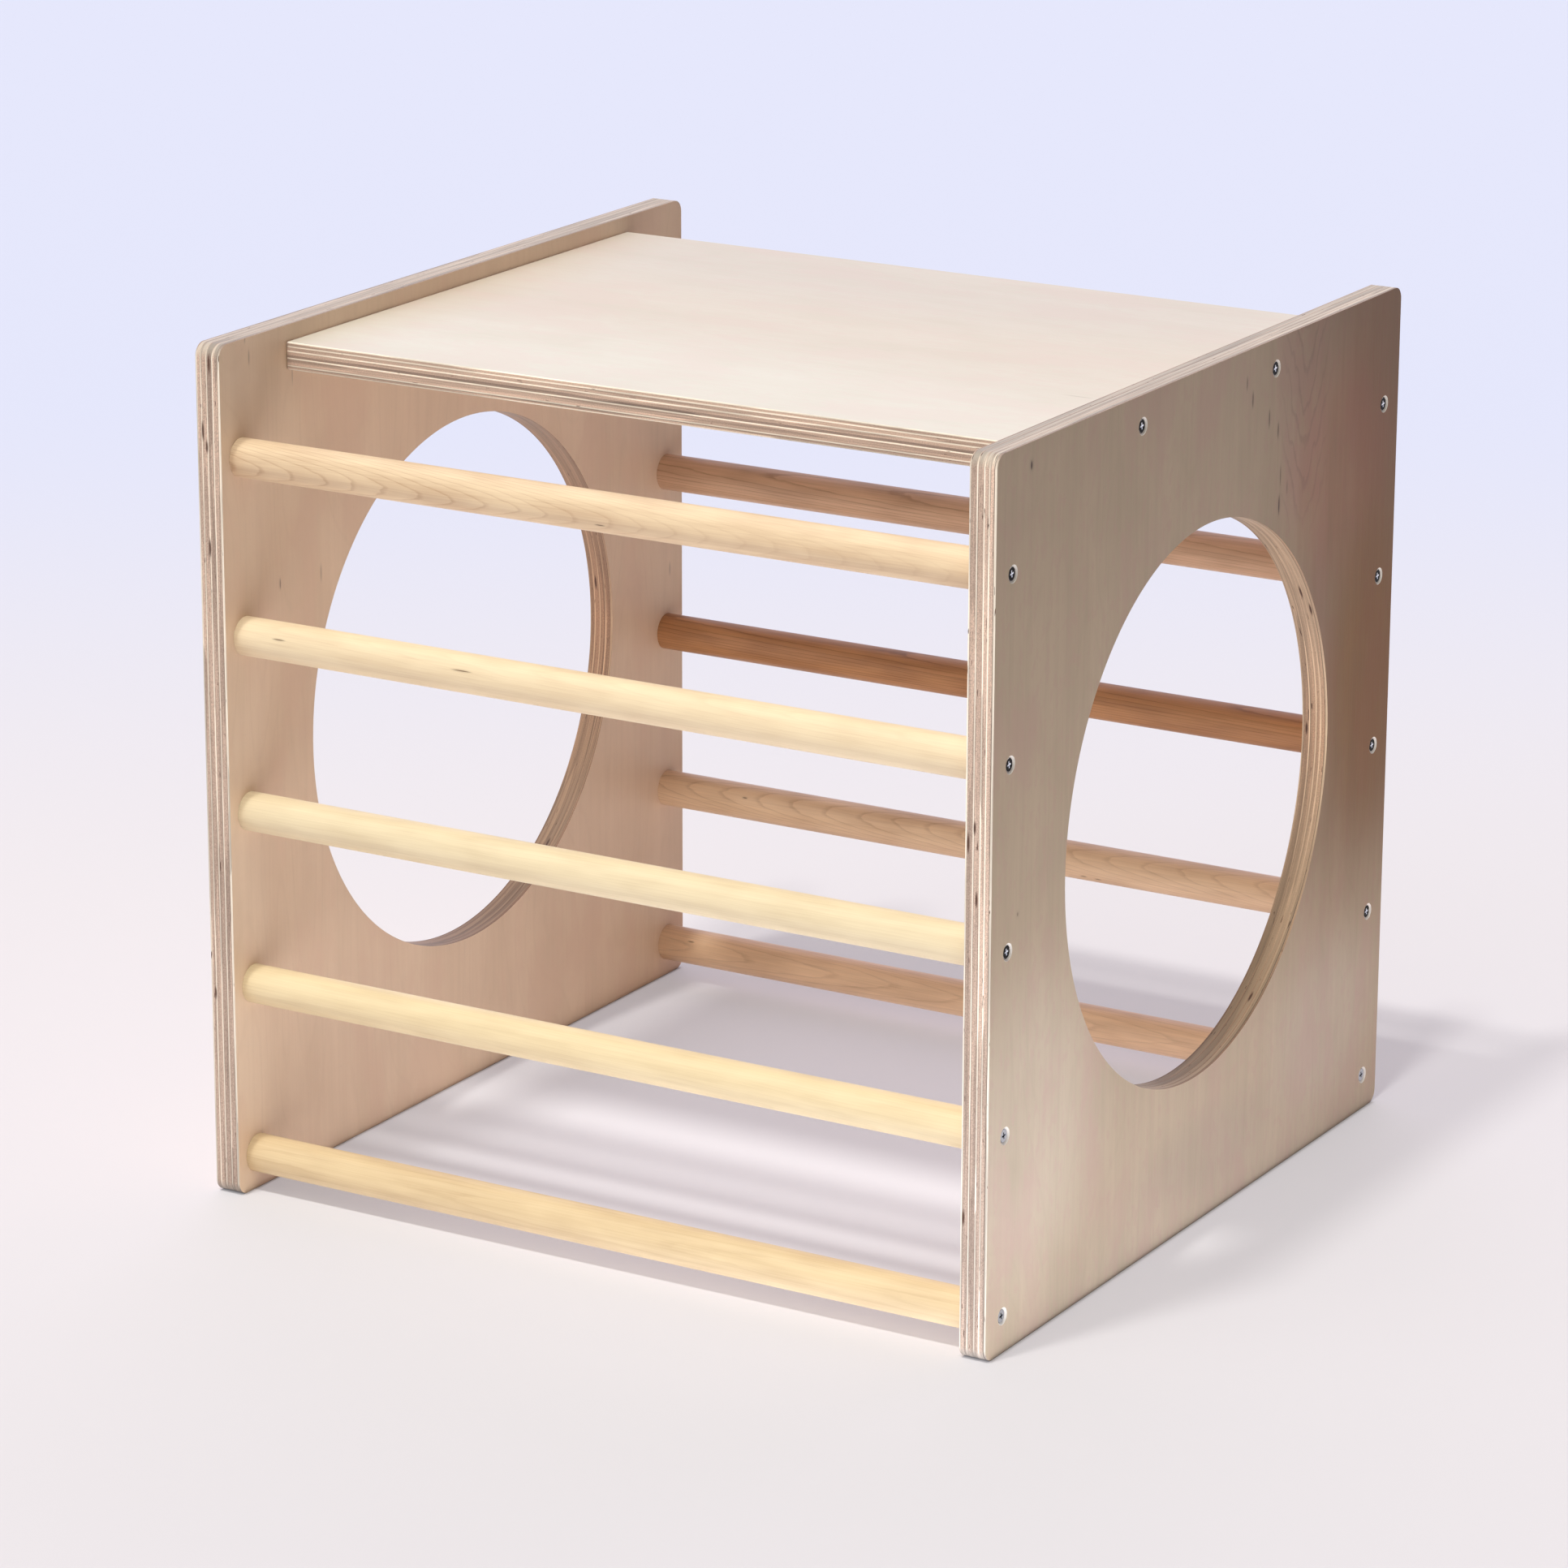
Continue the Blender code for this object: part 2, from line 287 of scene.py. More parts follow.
# Shares of the half-width at which the flames end and are full, the height over which they grow in,
# how steep, how blunt and how wavy their arms are, and how much pink they have in patches and between
FLAME_FADE = (1.8, 0.6)
FLAME_RISE = 0.04
FLAME_SLOPE = 2.0
FLAME_TIP = 0.003
FLAME_WAVE = 0.04
FLAME_PINK = (0.6, 0.2)
# Strength of the flames' lines, and their share of the pinkish tone
FLAME_LINES = 0.4
FLAME_TONE = 0.62
# Depths between which the flames and the painted rear shade grow in, so that only the outer face has them
OUTER_FACE = (0.010, 0.016)
# Painted brown shade in the upper rear part of the same face: where it grows from nothing to full
# across and upwards, and how far its border wanders
REAR_SHADE_TINT = (0.465, 0.315, 0.19)
REAR_SHADE_SEED = 41
REAR_SHADE_WANDER = 0.05
REAR_SHADE_ACROSS = (0.02, 0.25)
REAR_SHADE_UP = (-0.19, -0.04)

# Rungs: light and dark tones, the side that the growth layers face in degrees up from the front,
# how steeply they dive into the rung, how strong their lines are at its left and right ends, and
# small knots, each with its place along the rung in millimetres, its angle and its length
RUNG_LOOKS = {
    "front_rung_1": ((0.85, 0.66, 0.475), (0.58, 0.385, 0.255), -16, -0.082, (0.36, 0.10),
                     ((7, -24, 8),)),
    "front_rung_2": ((0.85, 0.70, 0.515), (0.66, 0.495, 0.345), 60, 0.030, (0.12, 0.12),
                     ((-231, 22, 11), (-94, 22, 17))),
    "front_rung_3": ((0.78, 0.655, 0.475), (0.60, 0.47, 0.32), 95, -0.020, (0.10, 0.10), ()),
    "front_rung_4": ((0.76, 0.62, 0.42), (0.585, 0.445, 0.28), 140, 0.025, (0.10, 0.10), ()),
    "front_rung_5": ((0.67, 0.515, 0.33), (0.485, 0.34, 0.205), 20, 0.012, (0.16, 0.12), ()),
    # The upper rear rungs 1 to 3 are darker and browner than the others: partly their own browner wood,
    # partly painted shade under the top panel
    "rear_rung_1": ((0.75, 0.49, 0.30), (0.49, 0.27, 0.15), 70, 0.030, (0.40, 0.30), ()),
    "rear_rung_2": ((0.74, 0.47, 0.315), (0.435, 0.26, 0.163), 55, 0.018, (0.45, 0.35), ()),
    "rear_rung_3": ((0.59, 0.29, 0.13), (0.32, 0.14, 0.06), 75, 0.014, (0.45, 0.35), ()),
    "rear_rung_4": ((0.92, 0.67, 0.465), (0.60, 0.395, 0.255), 38, 0.068, (0.34, 0.26),
                    ((-194, 30, 4), (75, -35, 5), (86, -38, 5))),
    "rear_rung_5": ((0.89, 0.62, 0.425), (0.58, 0.38, 0.25), 14, -0.034, (0.28, 0.22), ((-239, 35, 6),)),
}
# Share of a rung's half-length within which its lines go from the left strength to the right one
RUNG_BLEND = 0.6
# Growth layers: how far apart they are, how much they ripple, wave and curve, and how much of their
# darkness comes bit by bit before the line that ends each year
RING_SPACING = 0.0019
RING_RIPPLE = 0.35 * MM
RING_WAVE = 2.2 * MM
RING_CURVE = 9.0
RING_RISE = 0.25
# Strengths of a rung's streaks, strands and clouds, and what the mean strength of its lines adds to
# the first two
RUNG_STREAKS = 0.22
RUNG_STRANDS = 0.12
RUNG_CLOUDS = 0.36
RUNG_EXTRA = 0.3
RUNG_RELIEF = (0.12 * MM, 0.3)
RUNG_ROUGHNESS = (0.14, 0.36)
KNOT_COLOUR = (0.16, 0.09, 0.045)
# A knot and the shade round it: half-width and strength
KNOT_LAYERS = ((0.45 * MM, 1.0), (1.4 * MM, 0.22))

# Zinc: how far its roughness varies and its least, its relief, the depths between which the flat
# face of a head begins, and the colours of silver flats, of dark flats, which are a painted reflection
# of a dark room, and of recesses in each of them: painted shade in the silver heads, a painted glint
# in the dark ones
ZINC_ROUGHNESS = (0.15, 0.12)
ZINC_RELIEF = (0.02 * MM, 0.4)
HEAD_FLAT = (-0.10 * MM, -0.04 * MM)
SILVER_FLATS = ((0.42, 0.44, 0.47), (0.62, 0.64, 0.67))
DARK_REFLECTION_FLATS = ((0.004, 0.003, 0.003), (0.015, 0.013, 0.013))
RECESS_SHADE_AND_GLINT = ((0.20, 0.21, 0.24), (0.97, 0.97, 0.98))
# What a dark flat adds to the shader's specular level, and the level elsewhere
ZINC_GLOSS = (-0.45, 0.5)
# Heights between which the screw heads turn to the painted dark reflection and bright recess, and how
# much lower these are per metre rearwards
DARK_HEADS_FROM = (0.10, 0.18)
DARK_HEADS_FALL = 0.24


def centre_and_size(node):
    low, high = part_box(node)
    return (low + high) / 2, high - low


# Nodes of a material

# Sockets of the node that mixes colours: its factor, both colours, and what comes out
MIX_INPUTS = (0, 6, 7)
MIX_OUTPUT = 2
# How far a seed of one moves a noise and a cell pattern
NOISE_STEP = (7.3, 3.1, 5.7)
CELL_STEP = (2.9, 4.7, 6.1)
# Share of a spot's radius within which it is at full strength
SPOT_CORE = 0.3


class Graph:
    """The nodes of a material or a world, made by calls that return output sockets."""

    def __init__(self, owner):
        owner.use_nodes = True
        self.owner = owner
        self.tree = owner.node_tree
        self.shader = next(node for node in self.tree.nodes if "OUTPUT" not in node.type)
        self.coordinates = self.add("ShaderNodeTexCoord").outputs
        self.point = self.coordinates["Object"]

    def feed(self, socket, value):
        if isinstance(value, bpy.types.NodeSocket):
            self.tree.links.new(value, socket)
        elif socket.type == "RGBA":
            socket.default_value = (*value, 1)
        else:
            socket.default_value = value

    def add(self, kind, *values, **settings):
        node = self.tree.nodes.new(kind)
        for name, value in settings.items():
            setattr(node, name, value)
        for socket, value in zip(node.inputs, values):
            self.feed(socket, value)
        return node

    def math(self, operation, *values):
        return self.add("ShaderNodeMath", *values, operation=operation).outputs[0]

    def vector(self, operation, *values):
        return self.add("ShaderNodeVectorMath", *values, operation=operation).outputs[0]

    def measure(self, operation, *values):
        """A vector operation that gives a number."""
        return self.add("ShaderNodeVectorMath", *values, operation=operation).outputs["Value"]

    def parts(self, vector):
        return self.add("ShaderNodeSeparateXYZ", vector).outputs[:3]

    def joined(self, *values):
        return self.add("ShaderNodeCombineXYZ", *values).outputs[0]

    def mixed(self, factor, first, second):
        node = self.add("ShaderNodeMix", data_type="RGBA")
        for index, value in zip(MIX_INPUTS, (factor, first, second)):
            self.feed(node.inputs[index], value)
        return node.outputs[MIX_OUTPUT]

    def noise(self, point, sizes, seed, detail, distortion=0.0):
        """Smooth noise from 0 to 1 whose lumps have about these sizes along the point's axes."""
        scales = [1 / size for size in sizes]
        place = self.vector("MULTIPLY_ADD", point, scales, [seed * step for step in NOISE_STEP])
        node = self.add("ShaderNodeTexNoise")
        self.feed(node.inputs["Vector"], place)
        self.feed(node.inputs["Scale"], 1)
        self.feed(node.inputs["Detail"], detail)
        self.feed(node.inputs["Distortion"], distortion)
        return node.outputs[0]

    def cells(self, point, sizes, seed):
        """A value from 0 to 1 for each cell of a stretched cell pattern."""
        scales = [1 / size for size in sizes]
        place = self.vector("MULTIPLY_ADD", point, scales, [seed * step for step in CELL_STEP])
        node = self.add("ShaderNodeTexVoronoi")
        self.feed(node.inputs["Vector"], place)
        self.feed(node.inputs["Scale"], 1)
        return self.parts(node.outputs["Color"])[0]

    def within(self, value, low, high):
        """Rises smoothly from 0 at low to 1 at high."""
        node = self.add("ShaderNodeMapRange", value, low, high, interpolation_type="SMOOTHSTEP")
        return node.outputs[0]

    def moved(self, value, noise, reach):
        """The value moved up and down by a noise, over this reach in all."""
        return self.math("MULTIPLY_ADD", self.math("SUBTRACT", noise, 0.5), reach, value)

    def grown(self, amount, strength, noise, low, high):
        """The amount with this strength added to it as the noise goes from low to high."""
        return self.math("MULTIPLY_ADD", self.within(noise, low, high), strength, amount)

    def ramp(self, value, stops):
        node = self.add("ShaderNodeValToRGB", value)
        elements = node.color_ramp.elements
        while len(elements) < len(stops):
            elements.new(0.5)
        for element, (position, colour) in zip(elements, stops):
            element.position = position
            element.color = (*colour, 1)
        return node.outputs[0]

    def shaded(self, tone, colour):
        """The colour multiplied by a tone, which is a number."""
        return self.vector("MULTIPLY", colour, tone)

    def seen(self):
        """1 for what the camera, mirrors and glass show, 0 for the light that falls on things."""
        path = self.add("ShaderNodeLightPath").outputs
        seen = self.math("MAXIMUM", path["Is Camera Ray"], path["Is Glossy Ray"])
        return self.math("MAXIMUM", seen, path["Is Transmission Ray"])

    def spot(self, point, centre, radii):
        """1 in the middle of an ellipsoid round the centre, fading to 0 at its surface."""
        away = self.vector("DIVIDE", self.vector("SUBTRACT", point, centre), radii)
        return self.within(self.measure("LENGTH", away), 1.0, SPOT_CORE)

    def bump(self, height, distance, strength):
        node = self.add("ShaderNodeBump")
        self.feed(node.inputs["Strength"], strength)
        self.feed(node.inputs["Distance"], distance)
        self.feed(node.inputs["Height"], height)
        self.feed(self.shader.inputs["Normal"], node.outputs[0])

    def finish(self, **values):
        for name, value in values.items():
            self.feed(self.shader.inputs[name.replace("_", " ")], value)
        return self.owner


# Woods

def ply_stops(plies):
    """Ramp stops across a board: red is the grain's turn and green the ply's tone, halved."""
    total = sum(thickness for thickness, _, _ in plies)
    edge = PLY_BLUR / total
    stops = []
    depth = 0
    for thickness, turn, tone in plies:
        colour = (turn, tone / 2, 0)
        stops.append((max(0, depth / total + edge), colour))
        depth += thickness
        stops.append((min(1, depth / total - edge), colour))
    return stops


def face_colour(graph, point, light, dark, blush, streaky, mottled, seed):
    """Rotary-cut birch: fine streaks, broad soft bands, faint flames and pink patches.

    The lumps of each noise have their sizes into the board, across the grain and along it.
    """
    streaks = graph.noise(point, (0.05, 0.0014, 0.09), seed, 3.0)
    strands = graph.noise(point, (0.05, 0.0060, 0.16), seed + 6, 2.0)
    bands = graph.noise(point, (0.05, 0.030, 0.40), seed + 1, 2.0)
    clouds = graph.noise(point, (0.05, 0.035, 0.085), seed + 2, 3.0)
    shades = graph.noise(point, (0.05, 0.050, 0.070), seed + 8, 3.0)
    field = graph.noise(point, (0.2, 0.085, 0.40), seed + 3, 1.0, 0.3)
    rings = graph.math("PINGPONG", graph.math("MULTIPLY", field, FACE_RINGS), 0.5)
    flames = graph.math("MULTIPLY", graph.within(rings, 0.34, 0.5), FACE_FLAMES)
    amount = graph.math("ADD", graph.within(streaks, 0.25, 0.85), graph.within(strands, 0.3, 0.7))
    amount = graph.math("MULTIPLY_ADD", amount, FACE_STREAKS * streaky, flames)
    amount = graph.grown(amount, FACE_BANDS, bands, 0.25, 0.75)
    amount = graph.grown(amount, FACE_SHADES, shades, 0.40, 0.75)
    colour = graph.mixed(amount, light, dark)
    pink = graph.math("MULTIPLY", graph.within(clouds, 0.48, 0.66), FACE_PINK)
    colour = graph.mixed(pink, colour, blush)
    mottle = graph.noise(point, (0.02, 0.0055, 0.011), seed + 9, 3.0)
    patchy = graph.math("MULTIPLY", graph.within(mottle, 0.50, 0.66), mottled)
    colour = graph.mixed(patchy, colour, blush)
    pores = graph.noise(point, (0.02, 0.00035, 0.0045), seed + 4, 1.0)
    fleck = graph.math("MULTIPLY", graph.within(pores, 0.70, 0.80), PORE_STRENGTH)
    return graph.mixed(fleck, colour, [PORE_TONE * part for part in dark])


def marked(graph, point, colour, marks, tint):
    """The colour with small dark marks, each with a wider and fainter shade round it."""
    for depth, across, along, width, length, strength in marks:
        centre = [value * MM for value in (depth, across, along)]
        for grow, share in MARK_LAYERS:
            radii = (MARK_HALF_DEPTH * MM, grow * width * MM, (length / 2 + grow * width) * MM)
            spot = graph.math("MULTIPLY", graph.spot(point, centre, radii), strength * share)
            colour = graph.mixed(spot, colour, tint)
    return colour


def stained_and_lit(graph, point, colour, stains_and_light):
    """The colour with broad soft patches: stains, and painted light and shade."""
    for across, along, half_width, half_length, tint in stains_and_light:
        centre = (0, across * MM, along * MM)
        spot = graph.spot(point, centre, (PATCH_HALF_DEPTH * MM, half_width * MM, half_length * MM))
        colour = graph.mixed(spot, colour, graph.vector("MULTIPLY", colour, tint))
    return colour


def flamed(graph, point, colour, blush, seed):
    """The colour with a column of V-shaped flames on the outer face, which point down."""
    across, low, half_width, spacing = FLAMES
    depth, side, up = graph.parts(point)
    side = graph.math("SUBTRACT", side, across)
    wave = graph.noise(point, (0.05, 0.012, 0.030), seed + 7, 3.0)
    patches = graph.noise(point, (0.05, 0.010, 0.020), seed + 10, 3.0)
    arm = graph.math("SQRT", graph.math("MULTIPLY_ADD", side, side, FLAME_TIP ** 2))
    layer = graph.math("MULTIPLY_ADD", arm, -FLAME_SLOPE, up)
    layer = graph.math("MULTIPLY_ADD", wave, FLAME_WAVE, layer)
    year = graph.math("FRACT", graph.math("DIVIDE", layer, spacing))
    line = graph.math("MULTIPLY", graph.within(year, 0.10, 0.32), graph.within(year, 0.46, 0.34))
    fade = [share * half_width for share in FLAME_FADE]
    near = graph.within(graph.math("ABSOLUTE", side), *fade)
    near = graph.math("MULTIPLY", near, graph.within(up, low, low + FLAME_RISE))
    near = graph.math("MULTIPLY", near, graph.within(depth, *OUTER_FACE))
    pink = graph.math("MULTIPLY_ADD", graph.within(patches, 0.38, 0.58), *FLAME_PINK)
    colour = graph.mixed(graph.math("MULTIPLY", near, pink), colour, blush)
    line = graph.math("MULTIPLY", graph.math("MULTIPLY", near, line), FLAME_LINES)
    return graph.mixed(line, colour, [FLAME_TONE * part for part in blush])


def rear_shaded(graph, point, colour):
    """The colour with painted brown shade in the upper rear part of the outer face."""
    depth, side, up = graph.parts(point)
    wave = graph.noise(point, (0.05, 0.020, 0.12), REAR_SHADE_SEED, 2.0)
    side = graph.moved(side, wave, REAR_SHADE_WANDER)
    share = graph.math("MULTIPLY", graph.within(side, *REAR_SHADE_ACROSS), graph.within(up, *REAR_SHADE_UP))
    share = graph.math("MULTIPLY", share, graph.within(depth, *OUTER_FACE))
    return graph.mixed(share, colour, graph.vector("MULTIPLY", colour, REAR_SHADE_TINT))


def rim_colour(graph, name, point, turned, thickness):
    """Cut plies: pale and streaky along the grain, brown and speckled where it ends.

    An edge is turned, as a number up to 1, when it faces along the grain of the board's faces.
    """
    seed = BOARD_SEEDS[name]
    long_grain, end_grain = RIM
    depth, across, along = graph.parts(point)
    wander = graph.noise(point, (0.5, 0.11, 0.11), seed, 3.0)
    depth = graph.moved(depth, wander, PLY_WANDER * MM)
    share = graph.math("DIVIDE", depth, thickness)
    ply = graph.parts(graph.ramp(share, ply_stops(PLIES[name])))
    end = graph.math("ABSOLUTE", graph.math("SUBTRACT", turned, ply[0]))
    speckle = graph.noise(point, (0.00035, 0.0006, 0.0006), seed + 1, 2.0)
    hairs = graph.noise(point, (0.00022, 0.016, 0.016), seed + 2, 2.0)
    veneers = graph.cells(point, (0.0016, 0.075, 0.075), seed)
    tone = graph.math("MULTIPLY", ply[1], 2 * RIM_TONES[name])
    tone = graph.math("MULTIPLY", tone, graph.math("MULTIPLY_ADD", veneers, *VENEER_TONES))
    tone = graph.math("MULTIPLY", tone, graph.math("MULTIPLY_ADD", hairs, *HAIR_TONES))
    grit = graph.math("MULTIPLY_ADD", speckle, *GRIT_TONES)
    cut = graph.shaded(grit, end_grain)
    colour = graph.shaded(tone, graph.mixed(end, long_grain, cut))
    colour = graph.mixed(turned, colour, graph.vector("MULTIPLY", colour, UPPER_EDGE_TINTS[name]))
    if name != "top":
        # Painted shade: the edges darken towards the floor
        darkening, height = FOOT_EDGE_SHADE
        foot = graph.within(along, height - SIDE_SIZE.z / 2, -SIDE_SIZE.z / 2)
        level = graph.math("MULTIPLY_ADD", along, EDGE_SLOPE, 1)
        colour = graph.shaded(graph.math("MULTIPLY_ADD", foot, darkening, level), colour)
    # Painted warm shade on the wall of the hole
    radius = graph.measure("LENGTH", graph.joined(0, across, along))
    in_hole = graph.within(radius, *(HOLE_DIAMETER / 2 + reach for reach in HOLE_SHADE_REACH))
    colour = graph.mixed(in_hole, colour, graph.vector("MULTIPLY", colour, HOLE_SHADE_TINTS[name]))
    pits = graph.noise(point, (0.0010, 0.010, 0.010), seed + 3, 1.0)
    colour = graph.mixed(graph.within(pits, 0.73, 0.76), colour, VOID_COLOUR)
    for *centre, reach in VOIDS[name]:
        radii = (VOID_HALF_WIDTH * MM, reach * MM, reach * MM)
        centre = [value * MM for value in centre]
        colour = graph.mixed(graph.spot(point, centre, radii), colour, VOID_COLOUR)
    return colour


def countersunk(graph, point, facing):
    """1 on the sloping walls of the countersinks, away from the outline and the hole."""
    _, across, along = graph.parts(point)
    sloping = graph.math("MULTIPLY", *(graph.within(facing, *slopes) for slopes in COUNTERSINK_SLOPES))
    radius = graph.measure("LENGTH", graph.joined(0, across, along))
    clear = graph.math("GREATER_THAN", radius, HOLE_DIAMETER / 2 + COUNTERSINK_MARGIN)
    for place, size in ((across, SIDE_SIZE.y), (along, SIDE_SIZE.z)):
        inside = graph.math("LESS_THAN", graph.math("ABSOLUTE", place), size / 2 - COUNTERSINK_MARGIN)
        clear = graph.math("MULTIPLY", clear, inside)
    return graph.math("MULTIPLY", sloping, clear)


def plywood(name, order, thickness):
    """A board whose depth, cross direction and face grain lie along the axes named in order.

    The depth is measured from the first ply. It runs along +X on a side panel, and along -Z,
    from half the thickness up, on the top panel.
    """
    graph = Graph(bpy.data.materials.new(f"{name}_plywood"))
    seed = BOARD_SEEDS[name]
    light, dark, blush, streaky, mottled = FACES[name]
    place = dict(zip("XYZ", graph.parts(graph.point)))
    if order[0] == "Z":
        place["Z"] = graph.math("SUBTRACT", thickness / 2, place["Z"])
    point = graph.joined(*(place[axis] for axis in order))
    normal = graph.add("ShaderNodeNewGeometry").outputs["Normal"]
    facing = dict(zip("XYZ", graph.parts(graph.vector("ABSOLUTE", normal))))
    face = face_colour(graph, point, light, dark, blush, streaky, mottled, seed)
    if name == "right":
        # Flames in the right panel's outer face, and painted shade in its upper rear part
        face = rear_shaded(graph, point, flamed(graph, point, face, blush, seed))
    # Broad patches, which on the right panel are painted light and shade
    face = stained_and_lit(graph, point, face, STAINS_AND_PAINTED_LIGHT[name])
    face = marked(graph, point, face, MARKS[name], [tint * part for tint, part in zip(MARK_TINT, dark)])
    edges = rim_colour(graph, name, point, facing[order[2]], thickness)
    flat = graph.within(facing[order[0]], *FACE_TURN)
    colour = graph.mixed(flat, edges, face)
    if name != "top":
        colour = graph.mixed(countersunk(graph, point, facing["X"]), colour, COUNTERSINK_COLOUR)
    grain = graph.noise(point, (0.0008, 0.0007, 0.03), seed + 5, 3.0)
    graph.bump(grain, *BOARD_RELIEF)
    rough = graph.math("MULTIPLY_ADD", grain, *BOARD_ROUGHNESS)
    return graph.finish(Base_Color=colour, Roughness=rough)


def rung_wood(name, light, dark, heart, slope, contrast, knots, seed):
    """Turned solid wood. Its growth layers face the heart angle, round from the front, and dive
    into the rung by slope, so that they come out of its surface as arches.
    """
    graph = Graph(bpy.data.materials.new(f"{name}_wood"))
    along = graph.parts(graph.point)[0]
    heart = math.radians(heart)
    left, right = contrast
    reach = RUNG_BLEND * RUNG_SIZE.x / 2
    strength = graph.math("MULTIPLY_ADD", graph.within(along, -reach, reach), right - left, left)
    extra = RUNG_EXTRA * (left + right) / 2
    radial = graph.measure("DOT_PRODUCT", graph.point, (0, -math.cos(heart), math.sin(heart)))
    tangent = graph.measure("DOT_PRODUCT", graph.point, (0, math.sin(heart), math.cos(heart)))
    wave = graph.noise(graph.point, (0.09, 0.012, 0.012), seed, 2.0)
    ripple = graph.noise(graph.point, (0.007, 0.004, 0.004), seed + 4, 2.0)
    layer = graph.math("MULTIPLY_ADD", along, slope, radial)
    layer = graph.moved(layer, ripple, RING_RIPPLE)
    layer = graph.math("MULTIPLY_ADD", graph.math("MULTIPLY", tangent, tangent), RING_CURVE, layer)
    layer = graph.moved(layer, wave, RING_WAVE)
    year = graph.math("FRACT", graph.math("DIVIDE", layer, RING_SPACING))
    late = graph.math("MULTIPLY", graph.within(year, 0.75, 0.93), graph.within(year, 1.0, 0.94))
    line = graph.grown(late, RING_RISE, year, 0.1, 1.0)
    streaks = graph.noise(graph.point, (0.06, 0.0007, 0.0007), seed + 1, 3.0)
    strands = graph.noise(graph.point, (0.09, 0.0030, 0.0030), seed + 2, 2.0)
    clouds = graph.noise(graph.point, (0.05, 0.014, 0.014), seed + 3, 2.0)
    amount = graph.math("MULTIPLY", line, strength)
    amount = graph.grown(amount, RUNG_STREAKS + extra, streaks, 0.3, 0.85)
    amount = graph.grown(amount, RUNG_STRANDS + extra, strands, 0.35, 0.75)
    amount = graph.grown(amount, RUNG_CLOUDS, clouds, 0.3, 0.75)
    colour = graph.mixed(amount, light, dark)
    radius = RUNG_SIZE.z / 2
    for spot_along, angle, length in knots:
        turn = math.radians(angle)
        centre = (spot_along * MM, -radius * math.cos(turn), radius * math.sin(turn))
        for width, share in KNOT_LAYERS:
            radii = (length * MM / 2 + width, width, width)
            spot = graph.math("MULTIPLY", graph.spot(graph.point, centre, radii), share)
            colour = graph.mixed(spot, colour, KNOT_COLOUR)
    graph.bump(streaks, *RUNG_RELIEF)
    rough = graph.math("MULTIPLY_ADD", streaks, *RUNG_ROUGHNESS)
    return graph.finish(Base_Color=colour, Roughness=rough)


def zinc(name):
    """Zinc plating with fine scratches and a dull bloom.

    The flat faces of the upper heads carry a painted reflection of the dark of a room, round a recess
    with a painted glint. Those of the lowest heads are silver, round a recess with painted shade.
    """
    graph = Graph(bpy.data.materials.new(name))
    bloom = graph.noise(graph.point, (0.0016, 0.0016, 0.0016), 1, 3.0)
    scratches = graph.noise(graph.point, (0.003, 0.00012, 0.0011), 2, 2.0)
    depth, _, _ = graph.parts(graph.point)
    _, rear, height = graph.parts(graph.add("ShaderNodeNewGeometry").outputs["Position"])
    height = graph.math("MULTIPLY_ADD", rear, DARK_HEADS_FALL, height)
    flat = graph.within(depth, *HEAD_FLAT)
    silver = graph.mixed(bloom, *SILVER_FLATS)
    mirrored_dark = graph.mixed(bloom, *DARK_REFLECTION_FLATS)
    upper = graph.within(height, *DARK_HEADS_FROM)
    recess = graph.mixed(upper, *RECESS_SHADE_AND_GLINT)
    colour = graph.mixed(flat, recess, graph.mixed(upper, silver, mirrored_dark))
    graph.bump(scratches, *ZINC_RELIEF)
    rough = graph.math("MULTIPLY_ADD", bloom, *ZINC_ROUGHNESS)
    # Where the painted dark reflection is, the zinc is no metal and hardly glossy
    dark = graph.math("MULTIPLY", flat, upper)
    gloss = graph.math("MULTIPLY_ADD", dark, *ZINC_GLOSS)
    metal = graph.math("SUBTRACT", 1, dark)
    return graph.finish(Base_Color=colour, Roughness=rough, Metallic=metal, Specular_IOR_Level=gloss)


# Meshes

def circle(x, radius, facets):
    """Points round the X axis."""
    angles = [2 * math.pi * i / facets for i in range(facets)]
    return [Vector((x, radius * math.cos(angle), radius * math.sin(angle))) for angle in angles]


def cross(x, span, arm_width):
    """Points of an upright cross round the X axis."""
    reach = span / 2
    side = arm_width / 2
    points = []
    for quarter in range(4):
        turn = Matrix.Rotation(quarter * math.pi / 2, 3, "X")
        for y, z in ((reach, side), (side, side), (side, reach)):
            points.append(turn @ Vector((x, y, z)))
    return points


def rounded_rectangle(x, depth, height, radius, facets):
    """Points of an upright rectangle round the X axis, with an arc at each corner."""
    points = []
    for quarter, (y_sign, z_sign) in enumerate(((1, 1), (-1, 1), (-1, -1), (1, -1))):
        centre_y = y_sign * (depth / 2 - radius)
        centre_z = z_sign * (height / 2 - radius)
        for i in range(facets + 1):
            angle = (quarter + i / facets) * math.pi / 2
            points.append(Vector((x, centre_y + radius * math.cos(angle),
                                  centre_z + radius * math.sin(angle))))
    return points


def add_loft(bm, outlines, place):
    """A closed body through outlines of equally many points, with flat ends."""
    rings = []
    for outline in outlines:
        rings.append([bm.verts.new(place @ point) for point in outline])
    for first, second in zip(rings, rings[1:]):
        for i in range(len(first)):
            bm.faces.new((first[i - 1], first[i], second[i], second[i - 1]))
    bm.faces.new(rings[0])
    bm.faces.new(rings[-1])


def mesh_of(name, bm):
    bmesh.ops.recalc_face_normals(bm, faces=bm.faces)
    mesh = bpy.data.meshes.new(name)
    bm.to_mesh(mesh)
    bm.free()
    return mesh


def lofts(name, outlines, places):
    """One body through the outlines at each of the places."""
    bm = bmesh.new()
    for place in places:
        add_loft(bm, outlines, place)
    return mesh_of(name, bm)


